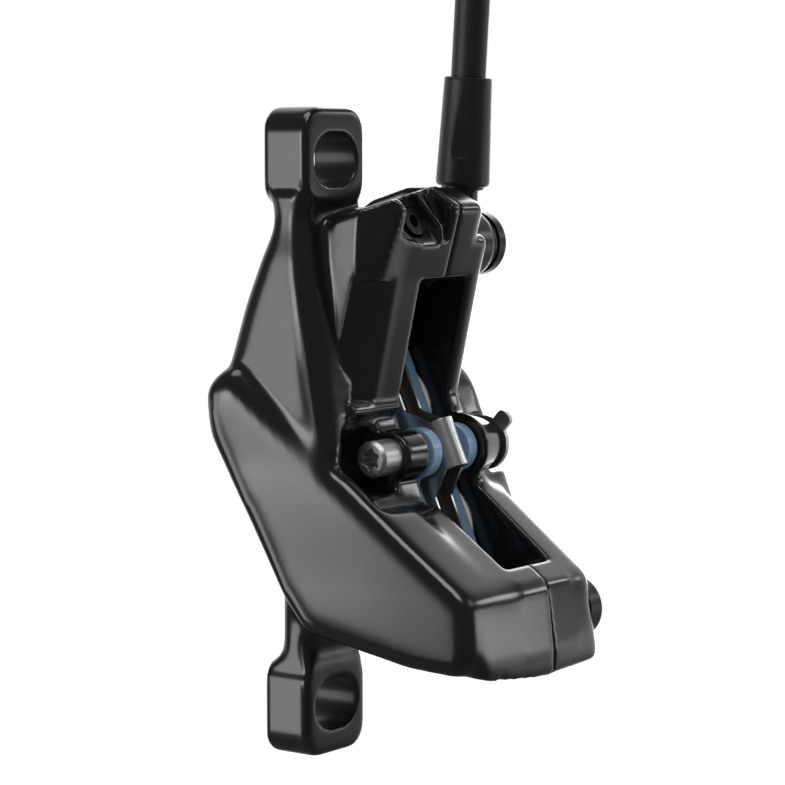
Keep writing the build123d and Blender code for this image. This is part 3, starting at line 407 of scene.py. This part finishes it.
@dataclass(frozen=True)
class Compound:
    """Sintered friction lining with metal grains and pores."""

    name: str = "friction_compound"
    base: Colour = (0.018, 0.017, 0.016)
    metal: Colour = (0.20, 0.18, 0.15)

    def material(self) -> bpy.types.Material:
        """Builds the material."""
        g = Graph(f"{self.name}_finish")
        at = g.place()
        cells = {"Vector": at, "Scale": 1.0 / (0.35 * MM)}
        grain = g.add("ShaderNodeTexVoronoi", {"feature": "F1"}, cells, "Distance")
        cloud = g.noise(at, 1.2 * MM, 5.0, 0.65)
        bright = g.noise(at, 0.3 * MM, 2.0, 0.8).rise(0.60, 0.70)
        return g.surface(
            Base_Color=(bright * 0.55 + cloud * 0.35).lowest(1.0).tint(self.base, self.metal),
            Roughness=0.78 - bright * 0.3,
            Metallic=bright * 0.7,
            Normal=g.relief(grain * 0.5 + cloud * 0.5, 0.06 * MM, 0.6),
        )


@dataclass(frozen=True)
class Moulded:
    """Moulded rubber or plastic with a fine skin, lighter cloudy patches of dust and a soft sheen."""

    name: str
    base: Colour
    light: Colour
    roughness: float
    depth: float = 0.02
    specular: float = 0.5
    grain: float = 0.35

    def material(self) -> bpy.types.Material:
        """Builds the material."""
        g = Graph(f"{self.name}_finish")
        at = g.place()
        skin = g.noise(at, self.grain * MM, 4.0, 0.6)
        cloud = g.noise(at, 6 * MM, 3.0)
        return g.surface(
            Base_Color=(cloud * 0.5 + skin * 0.2).lowest(1.0).tint(self.base, self.light),
            Roughness=self.roughness + skin * 0.12 + cloud * 0.06,
            Specular_IOR_Level=self.specular,
            Normal=g.relief(skin, self.depth * MM, 0.5, 0.1 * MM),
        )


class Finish(Enum):
    """The finishes of the part, each named as its material slot."""

    ANODISED = Anodised()
    BLACK_STEEL = Turned("black_steel", (0.018, 0.018, 0.020), (0.16, 0.16, 0.165), 0.26, 0.85)
    BLACK_FITTING = Turned("black_fitting", (0.012, 0.012, 0.013), (0.10, 0.10, 0.105), 0.22, 0.35)
    STEEL = Turned("steel", (0.58, 0.58, 0.59), (0.72, 0.72, 0.73), 0.34, 1.0)
    SPRING_STEEL = Turned("spring_steel", (0.66, 0.66, 0.66), (0.80, 0.80, 0.80), 0.22, 1.0)
    WASHER = Turned("washer_alloy", (0.10, 0.10, 0.105), (0.28, 0.28, 0.285), 0.32, 0.9)
    BRASS = Turned("olive_brass", (0.68, 0.52, 0.24), (0.82, 0.68, 0.38), 0.28, 1.0)
    BLUE = Coated("blue_plate", (0.17, 0.30, 0.45), (0.40, 0.41, 0.42), 0.36)
    COMPOUND = Compound()
    PHENOLIC = Moulded("piston_ceramic", (0.70, 0.68, 0.62), (0.78, 0.77, 0.73), 0.30, 0.01)
    SEAL = Moulded("seal_rubber", (0.010, 0.010, 0.010), (0.022, 0.022, 0.022), 0.45)
    BOOT = Moulded("boot_rubber", (0.010, 0.010, 0.0105), (0.020, 0.020, 0.021), 0.30, 0.03)
    JACKET = Moulded("hose_jacket", (0.012, 0.012, 0.0125), (0.024, 0.024, 0.025), 0.34, 0.02, 0.45)
    STRAP = Moulded("tie_strap", (0.030, 0.030, 0.030), (0.055, 0.055, 0.055), 0.55, 0.05)

    def made(self) -> bpy.types.Material:
        """The finish's material, made the first time that it is asked for."""
        return bpy.data.materials.get(f"{self.value.name}_finish") or self.value.material()


def dress(obj: bpy.types.Object, finish: Finish) -> None:
    """Gives a solid or piece one finish in all its slots.

    Args:
        obj: The object.
        finish: Its finish.
    """
    obj.data.materials.clear()
    obj.data.materials.append(finish.made())


def keep(piece: bpy.types.Object, body: str, finish: Finish, *nodes: str) -> None:
    """Sets a finished piece in the frame.

    Args:
        piece: The piece.
        body: The body that it moves with.
        finish: Its finish, which names its slot too.
        nodes: The solids that it stands for.
    """
    dress(piece, finish)
    if nodes:
        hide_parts(*nodes)
    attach(piece, body)
    LOG.info("piece %s on %s", piece.name, body)


@dataclass(frozen=True)
class Lamp:
    """One soft box, in metres and watts."""

    name: str
    at: tuple[float, float, float]
    wide: float
    tall: float
    power: float
    aim: tuple[float, float, float] = (0.0, 0.0, 0.0)

    def place(self) -> None:
        """Adds the soft box, out of the camera's sight."""
        data = bpy.data.lights.new(self.name, "AREA")
        data.shape = "RECTANGLE"
        data.size = self.wide
        data.size_y = self.tall
        data.energy = self.power
        obj = bpy.data.objects.new(self.name, data)
        obj.visible_camera = False
        bpy.context.scene.collection.objects.link(obj)
        obj.location = self.at
        obj.rotation_mode = "QUATERNION"
        obj.rotation_quaternion = (Vector(self.aim) - Vector(self.at)).to_track_quat("-Z", "Y")


@dataclass
class Studio:
    """Camera, soft lamps, and the pale floor far below the part."""

    eye: tuple[float, float, float] = (-0.297, -0.2326, 0.0384)
    azimuth: float = -54.0
    elevation: float = 5.04
    lens: float = 126.1
    sensor: float = 36.0
    near: float = 0.01
    away: tuple[float, float, float] = (0.806, 0.586, 0.0)
    floor_drop: float = -0.36
    floor_size: float = 12.0
    floor_lift: float = 0.55
    floor_rough: float = 0.6
    floor_pale: Colour = (0.92, 0.92, 0.92)
    floor_dark: Colour = (0.07, 0.07, 0.07)
    fill: float = 0.5
    dark: float = 0.10
    lamps: tuple[Lamp, ...] = (
        Lamp("left_mid", (-0.88, 0.285, 0.06), 0.24, 0.18, 0.81),
        Lamp("left_far", (-0.74, 0.54, -0.09), 0.30, 0.48, 1.45),
        Lamp("left_dim", (-0.92, 0.10, -0.08), 0.16, 0.20, 0.12),
        Lamp("nose_card", (0.2397, -0.2434, -0.025), 0.10, 0.07, 0.045, (0.008, -0.03, -0.03)),
        Lamp("metal_card", (0.50, -0.65, 0.42), 0.30, 0.30, 0.28, (0.015, -0.013, -0.003)),
        Lamp("banjo_card", (0.80, -0.46, 0.26), 0.20, 0.14, 0.42, (0.03, -0.01, 0.025)),
        Lamp("brow_box", (-0.30, -0.40, 0.76), 0.36, 0.36, 1.8),
        Lamp("right_box", (0.95, 0.35, 0.15), 0.40, 1.0, 4.0),
        Lamp("top_box", (-0.10, -0.05, 0.95), 0.9, 0.5, 3.8),
    )

    def camera(self) -> None:
        """Places the camera at the photograph's viewing angle."""
        data = bpy.data.cameras.new("camera")
        data.lens = self.lens
        data.sensor_width = self.sensor
        data.clip_start = self.near
        obj = bpy.data.objects.new("camera", data)
        bpy.context.scene.collection.objects.link(obj)
        turn, rise = math.radians(self.azimuth), math.radians(self.elevation)
        back = Vector((math.sin(turn) * math.cos(rise), -math.cos(turn) * math.cos(rise), math.sin(rise)))
        obj.location = self.eye
        obj.rotation_mode = "QUATERNION"
        obj.rotation_quaternion = (-back).to_track_quat("-Z", "Y")
        bpy.context.scene.camera = obj
        bpy.context.scene.view_settings.view_transform = "Standard"

    def lights(self) -> None:
        """Adds the soft boxes and the even world light."""
        for lamp in self.lamps:
            lamp.place()
        world = bpy.data.worlds.new("studio")
        bpy.context.scene.world = world
        world.use_nodes = True
        tree = world.node_tree
        tree.nodes.clear()
        path = Graph.over(tree)
        way = path.add("ShaderNodeTexCoord", output="Generated", kind=Kind.VECTOR)
        behind = way.along(self.away).rise(0.35, 0.75)
        glossy = path.add("ShaderNodeLightPath", output="Is Glossy Ray")
        camera = path.add("ShaderNodeLightPath", output="Is Camera Ray")
        seen = self.dark + behind * (1.0 - self.dark)
        strength = self.fill + glossy * (seen - self.fill) + camera * (1.0 - self.fill)
        light = path.add("ShaderNodeBackground", sockets={"Color": (1.0, 1.0, 1.0, 1.0), "Strength": strength})
        path.add("ShaderNodeOutputWorld", sockets={"Surface": light})

    def floor(self) -> None:
        """Lays the pale floor."""
        mesh = bpy.data.meshes.new("floor")
        s, z = self.floor_size, self.floor_drop
        mesh.from_pydata([(-s, -s, z), (s, -s, z), (s, s, z), (-s, s, z)], [], [(0, 1, 2, 3)])
        obj = bpy.data.objects.new("floor", mesh)
        bpy.context.scene.collection.objects.link(obj)
        g = Graph("pale_floor")
        grain = g.noise(g.place(), 0.02, 3.0)
        beyond = g.place().along(self.away).rise(0.3, 0.9)
        glossy = g.add("ShaderNodeLightPath", output="Is Glossy Ray")
        seen = g.add("ShaderNodeLightPath", output="Is Camera Ray").highest(glossy * beyond)
        near = glossy * (1.0 - beyond)
        mesh.materials.append(
            g.surface(
                Base_Color=(near * 0.95 + grain * 0.05).tint(self.floor_pale, self.floor_dark),
                Roughness=self.floor_rough,
                Emission_Color=(1.0, 1.0, 1.0, 1.0),
                Emission_Strength=seen * self.floor_lift,
            )
        )


@dataclass
class Rounded:
    """A solid's stand-in whose sharp edges are rounded as on the real piece."""

    node: str
    finish: Finish = Finish.BOOT
    voxel: float = 0.16
    passes: int = 8
    body: str = "caliper"

    def softness(self, at: np.ndarray) -> np.ndarray:
        """How far each point may be smoothed.

        Args:
            at: Points in millimetres, one a row.

        Returns:
            A share from 0 to 1 for each point.
        """
        return np.ones(len(at))

    def swell(self, at: np.ndarray) -> np.ndarray:
        """How far each point is raised again after the smoothing, which shrinks round forms.

        Args:
            at: Points in millimetres, one a row.

        Returns:
            A height in millimetres for each point.
        """
        return np.zeros(len(at))

    def skin(self, source: bpy.types.Object) -> bpy.types.Mesh:
        """An even mesh over the solid.

        Args:
            source: The solid's object.

        Returns:
            The new mesh.
        """
        block = bpy.data.objects.new(f"{self.node}_block", source.data.copy())
        bpy.context.scene.collection.objects.link(block)
        block.data.materials.clear()
        remesh = block.modifiers.new("skin", "REMESH")
        remesh.mode = "VOXEL"
        remesh.voxel_size = self.voxel * MM
        snap = block.modifiers.new("snap", "SHRINKWRAP")
        snap.target = source
        snap.wrap_method = "NEAREST_SURFACEPOINT"
        mesh = bpy.data.meshes.new_from_object(block.evaluated_get(bpy.context.evaluated_depsgraph_get()))
        bpy.data.objects.remove(block)
        return mesh

    def build(self, source: bpy.types.Object) -> None:
        """Rounds a copy of the solid and stands it in the solid's place.

        Args:
            source: The solid's object.
        """
        mesh = self.skin(source)
        count = len(mesh.vertices)
        at = np.empty(count * 3, np.float64)
        mesh.vertices.foreach_get("co", at)
        at = at.reshape(-1, 3) / MM
        ends = np.empty(len(mesh.edges) * 2, np.int32)
        mesh.edges.foreach_get("vertices", ends)
        first, second = ends[0::2], ends[1::2]
        links = (np.bincount(first, minlength=count) + np.bincount(second, minlength=count))[:, None]
        pull = 0.5 * self.softness(at)[:, None]
        height = self.swell(at)[:, None]
        for _ in range(self.passes):
            total = np.stack(
                [
                    np.bincount(first, at[second, k], count) + np.bincount(second, at[first, k], count)
                    for k in range(3)
                ],
                axis=1,
            )
            at = at + (total / links - at) * pull
        mesh.vertices.foreach_set("co", (at * MM).ravel())
        mesh.update()
        way = np.empty(count * 3, np.float32)
        mesh.vertices.foreach_get("normal", way)
        at = at + way.reshape(-1, 3) * height
        mesh.vertices.foreach_set("co", (at * MM).ravel())
        mesh.polygons.foreach_set("use_smooth", [True] * len(mesh.polygons))
        mesh.update()
        piece = bpy.data.objects.new(f"{self.node}_shell", mesh)
        bpy.context.scene.collection.objects.link(piece)
        keep(piece, self.body, self.finish, self.node)


@dataclass(frozen=True)
class Zone:
    """A place that is smoothed less: a share up to its start, easing out to its end."""

    start: float
    end: float
    share: float

    def hold(self, soft: np.ndarray, distance: np.ndarray) -> None:
        """Limits the smoothing by the distance from the place.

        Args:
            soft: The share for each point, which this lowers.
            distance: How far each point lies from the place, in millimetres.
        """
        eased = np.clip((distance - self.start) / (self.end - self.start), 0, 1)
        np.minimum(soft, self.share + (1 - self.share) * eased, out=soft)


def past_end(over: np.ndarray, far: float = 20.0) -> np.ndarray:
    """A distance to add outside a place, full once a point is 1 mm past it."""
    return far * np.clip(over, 0, 1)


def ease(value: np.ndarray, low: float, high: float) -> np.ndarray:
    """A smooth step from 0 at low to 1 at high."""
    share = np.clip((value - low) / (high - low), 0, 1)
    return share * share * (3 - 2 * share)


@dataclass
class Forging(Rounded):
    """One body half: forged edges and hollows rounded, machined places kept."""

    finish: Finish = Finish.ANODISED
    voxel: float = 0.28
    passes: int = 100
    pin: tuple[float, float] = (-13.0, -3.3)
    tilt: float = 24.0
    split: float = 15.5
    walls: tuple[float, float] = (9.8, 21.2)
    wall_depths: tuple[float, float] = (2.0, 17.0)
    boss_start: float = -1.0
    bore_line: float = 9.6
    bore_steps: tuple[float, float] = (8.9, -8.9)
    bore_ends: tuple[float, float] = (-0.3, 31.2)
    bore_floor: float = -1.2
    bore_reach: float = 8.8
    banjo: tuple[float, float] = (-8.0, 25.0)
    recess: tuple[float, float, float] = (8.0, -15.0, 28.0)
    slot_height: float = 37.1
    ear_start: float = 30.0
    ear_run: float = 2.0
    block: tuple[float, float, float] = (-3.5, -9.0, 3.0)
    raised: float = 0.3
    raised_sides: tuple[float, float] = (6.0, -1.0)
    raised_top: float = 23.0
    raised_low: tuple[float, float] = (-20.0, 0.0)
    arm_raised: float = 0.55
    arm_middle: float = 13.0
    arm_half: tuple[float, float] = (18.0, 2.0)
    arm_front: tuple[float, float] = (-12.0, -6.0)

    def pad_place(self, at: np.ndarray) -> tuple[np.ndarray, np.ndarray]:
        """Each point's depth and length in the pads' tilted plane, from the pin.

        Args:
            at: Points in millimetres, one a row.

        Returns:
            The two distances in millimetres for each point.
        """
        tilt = math.radians(self.tilt)
        out, up = at[:, 1] - self.pin[0], at[:, 2] - self.pin[1]
        return out * math.cos(tilt) - up * math.sin(tilt), out * math.sin(tilt) + up * math.cos(tilt)

    def softness(self, at: np.ndarray) -> np.ndarray:
        """How far each point may be smoothed.

        Args:
            at: Points in millimetres, one a row.

        Returns:
            A share from 0 to 1 for each point.
        """
        x, y, z = at[:, 0], at[:, 1], at[:, 2]
        deep, along = self.pad_place(at)
        soft = np.ones(len(at))
        ear = np.abs(z)
        Zone(0.4, 1.4, 0.06).hold(soft, np.abs(x - self.split))
        Zone(4.4, 6.0, 0.16).hold(soft, np.hypot(deep, along) + past_end(self.boss_start - x))
        depth = past_end(np.maximum(self.bore_ends[0] - x, x - self.bore_ends[1]))
        for step in self.bore_steps:
            Zone(7.9, 9.0, 0.07).hold(soft, np.hypot(deep - self.bore_line, along - step) + depth)
        banjo = np.hypot(y - self.banjo[0], z - self.banjo[1])
        Zone(6.2, 7.4, 0.15).hold(soft, banjo + past_end(self.walls[1] - x))
        Zone(0.3, 1.2, 0.15).hold(soft, np.abs(y) + past_end(self.ear_start - ear))
        Zone(0.0, 3.0, 0.16).hold(soft, self.ear_start + self.ear_run - ear)
        Zone(5.6, 6.2, 0.03).hold(soft, np.hypot(x, ear - self.slot_height))
        Zone(6.2, 8.0, 0.08).hold(soft, np.linalg.norm(at - np.array(self.recess), axis=1))
        wall = np.maximum(self.walls[0] - x, x - self.walls[1])
        Zone(0.5, 1.6, 0.16).hold(soft, wall)
        off_pads = np.maximum(self.wall_depths[0] - deep, deep - self.wall_depths[1])
        Zone(0.12, 0.5, 0.02).hold(soft, np.abs(wall) + past_end(off_pads))
        side, front, floor = self.block
        Zone(0.0, 2.5, 0.11).hold(soft, np.maximum.reduce([side - x, floor - z, y - front]))
        return soft

    def swell(self, at: np.ndarray) -> np.ndarray:
        """How far each point is raised again after the smoothing, which shrinks round forms.

        Args:
            at: Points in millimetres, one a row.

        Returns:
            A height in millimetres for each point.
        """
        x, y, z = at[:, 0], at[:, 1], at[:, 2]
        arm = ease(np.abs(z - self.arm_middle), *self.arm_half) * ease(y, *self.arm_front)
        tall = ease(z, self.ear_start + self.ear_run, self.raised_top) * ease(z, *self.raised_low)
        deep, along = self.pad_place(at)
        nearest = np.minimum.reduce([np.hypot(deep - self.bore_line, along - step) for step in self.bore_steps])
        outside = np.where((x > self.bore_floor) & (nearest < self.bore_reach), 0.0, 1.0)
        return outside * ease(x, *self.raised_sides) * tall * (self.raised + self.arm_raised * arm)


@dataclass
class BrakeHose:
    """The hose from the banjo to its lever fittings, with its stored coil."""

    body: str = "caliper"
    outlet: tuple[float, float, float] = (28.5, -8.0, 25.0)
    lean: float = 3.6
    collar: float = 8.6
    run: float = 63.5
    lead: float = 5.0
    diameter: float = 5.0
    coil_radius: float = 27.5
    turns: int = 5
    pitch: float = 5.6
    exit_step: float = 3.6
    tail: float = 15.0
    points_a_turn: int = 12
    length: float = 0.9395
    fittings: tuple[str, ...] = (
        "lever_nut",
        "lever_olive",
        "lever_insert",
        "coil_ties",
        "hose_boot_shell",
        "crimp_sleeve",
    )

    def route(self) -> list[Vector]:
        """The control points from the collar to the free end, in metres."""
        lean = math.radians(self.lean)
        up = Vector((0, -math.sin(lean), math.cos(lean)))
        across = Vector((0, -math.cos(lean), -math.sin(lean)))
        start = Vector(self.outlet)
        coil_start = start + up * (self.run + self.lead)
        step = 2 * math.pi / self.points_a_turn
        reach = self.coil_radius / math.cos(step / 2)
        lead_in = self.coil_radius * math.tan(step / 2)
        centre = coil_start + across * self.coil_radius
        points = [start + up * self.collar, start + up * self.run / 2, coil_start - up * lead_in]
        count = self.turns * self.points_a_turn
        spare = self.exit_step - self.pitch / 4
        last = count - self.points_a_turn / 4
        for i in range(count):
            angle = (i + 0.5) * step
            shift = -self.pitch * (i + 0.5) / self.points_a_turn
            if i + 0.5 > last:
                shift -= spare * (i + 0.5 - last) / (count - last)
            out, rise = across * (reach * math.cos(angle)), up * (reach * math.sin(angle))
            points.append(centre - out + rise + Vector((shift, 0, 0)))
        coil_end = coil_start + Vector((-self.pitch * self.turns - spare, 0, 0))
        points += [coil_end + up * lead_in, coil_end + up * self.tail]
        return [p * MM for p in points]

    def build(self) -> None:
        """Makes the hose."""
        route = self.route()
        curve = bpy.data.curves.new("brake_hose", "CURVE")
        curve.dimensions = "3D"
        spline = curve.splines.new("NURBS")
        spline.points.add(len(route) - 1)
        for point, place in zip(spline.points, route):
            point.co = (*place, 1.0)
        spline.order_u = 3
        spline.use_endpoint_u = True
        spline.resolution_u = 8
        curve.bevel_depth = self.diameter / 2 * MM
        curve.bevel_resolution = 8
        curve.use_fill_caps = True
        hose = bpy.data.objects.new("brake_hose", curve)
        bpy.context.scene.collection.objects.link(hose)
        keep(hose, self.body, Finish.JACKET, "hose", "hose_coil")


@dataclass
class Solids:
    """The solids that show as they are, each with its finish."""

    finishes: dict[str, Finish] = field(
        default_factory=lambda: {
            "outboard_body": Finish.ANODISED,
            "inboard_body": Finish.ANODISED,
            "body_bolt": Finish.BLACK_STEEL,
            "crossover_seal": Finish.SEAL,
            "outboard_upper_piston": Finish.PHENOLIC,
            "outboard_lower_piston": Finish.PHENOLIC,
            "inboard_upper_piston": Finish.PHENOLIC,
            "inboard_lower_piston": Finish.PHENOLIC,
            "outboard_upper_seal": Finish.SEAL,
            "outboard_lower_seal": Finish.SEAL,
            "inboard_upper_seal": Finish.SEAL,
            "inboard_lower_seal": Finish.SEAL,
            "outboard_backing_plate": Finish.BLUE,
            "inboard_backing_plate": Finish.BLUE,
            "outboard_friction_pad": Finish.COMPOUND,
            "inboard_friction_pad": Finish.COMPOUND,
            "pad_pin": Finish.STEEL,
            "pin_clip": Finish.STEEL,
            "pad_spring": Finish.SPRING_STEEL,
            "banjo_fitting": Finish.BLACK_FITTING,
            "banjo_bolt": Finish.BLACK_STEEL,
            "banjo_washers": Finish.WASHER,
            "bleed_screw": Finish.BLACK_STEEL,
            "bleed_seal": Finish.SEAL,
            "crimp_sleeve": Finish.BLACK_FITTING,
            "hose_boot": Finish.BOOT,
            "hose": Finish.JACKET,
            "hose_coil": Finish.JACKET,
            "coil_ties": Finish.STRAP,
            "lever_nut": Finish.BLACK_FITTING,
            "lever_olive": Finish.BRASS,
            "lever_insert": Finish.BRASS,
        }
    )

    def build(self, nodes: Mapping[str, bpy.types.Object]) -> None:
        """Dresses every solid.

        Args:
            nodes: The frame's solids by name.
        """
        for name, obj in nodes.items():
            dress(obj, self.finishes[name])
            LOG.info("solid %s: %s", name, self.finishes[name].value.name)


def main() -> None:
    """Loads the frame and builds everything round it."""
    logging.basicConfig(level=logging.INFO, format="%(message)s")
    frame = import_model()
    studio = Studio()
    studio.camera()
    Rounded("hose_boot", Finish.BOOT, 0.16, 8).build(frame["nodes"]["hose_boot"])
    BrakeHose().build()
    Solids().build(frame["nodes"])
    rounded = [
        Forging("outboard_body"),
        Forging("inboard_body"),
        Rounded("banjo_fitting", Finish.BLACK_FITTING, 0.15, 6),
    ]
    for shell in rounded:
        shell.build(frame["nodes"][shell.node])
    studio.lights()
    studio.floor()


if __name__ == "__main__":
    main()
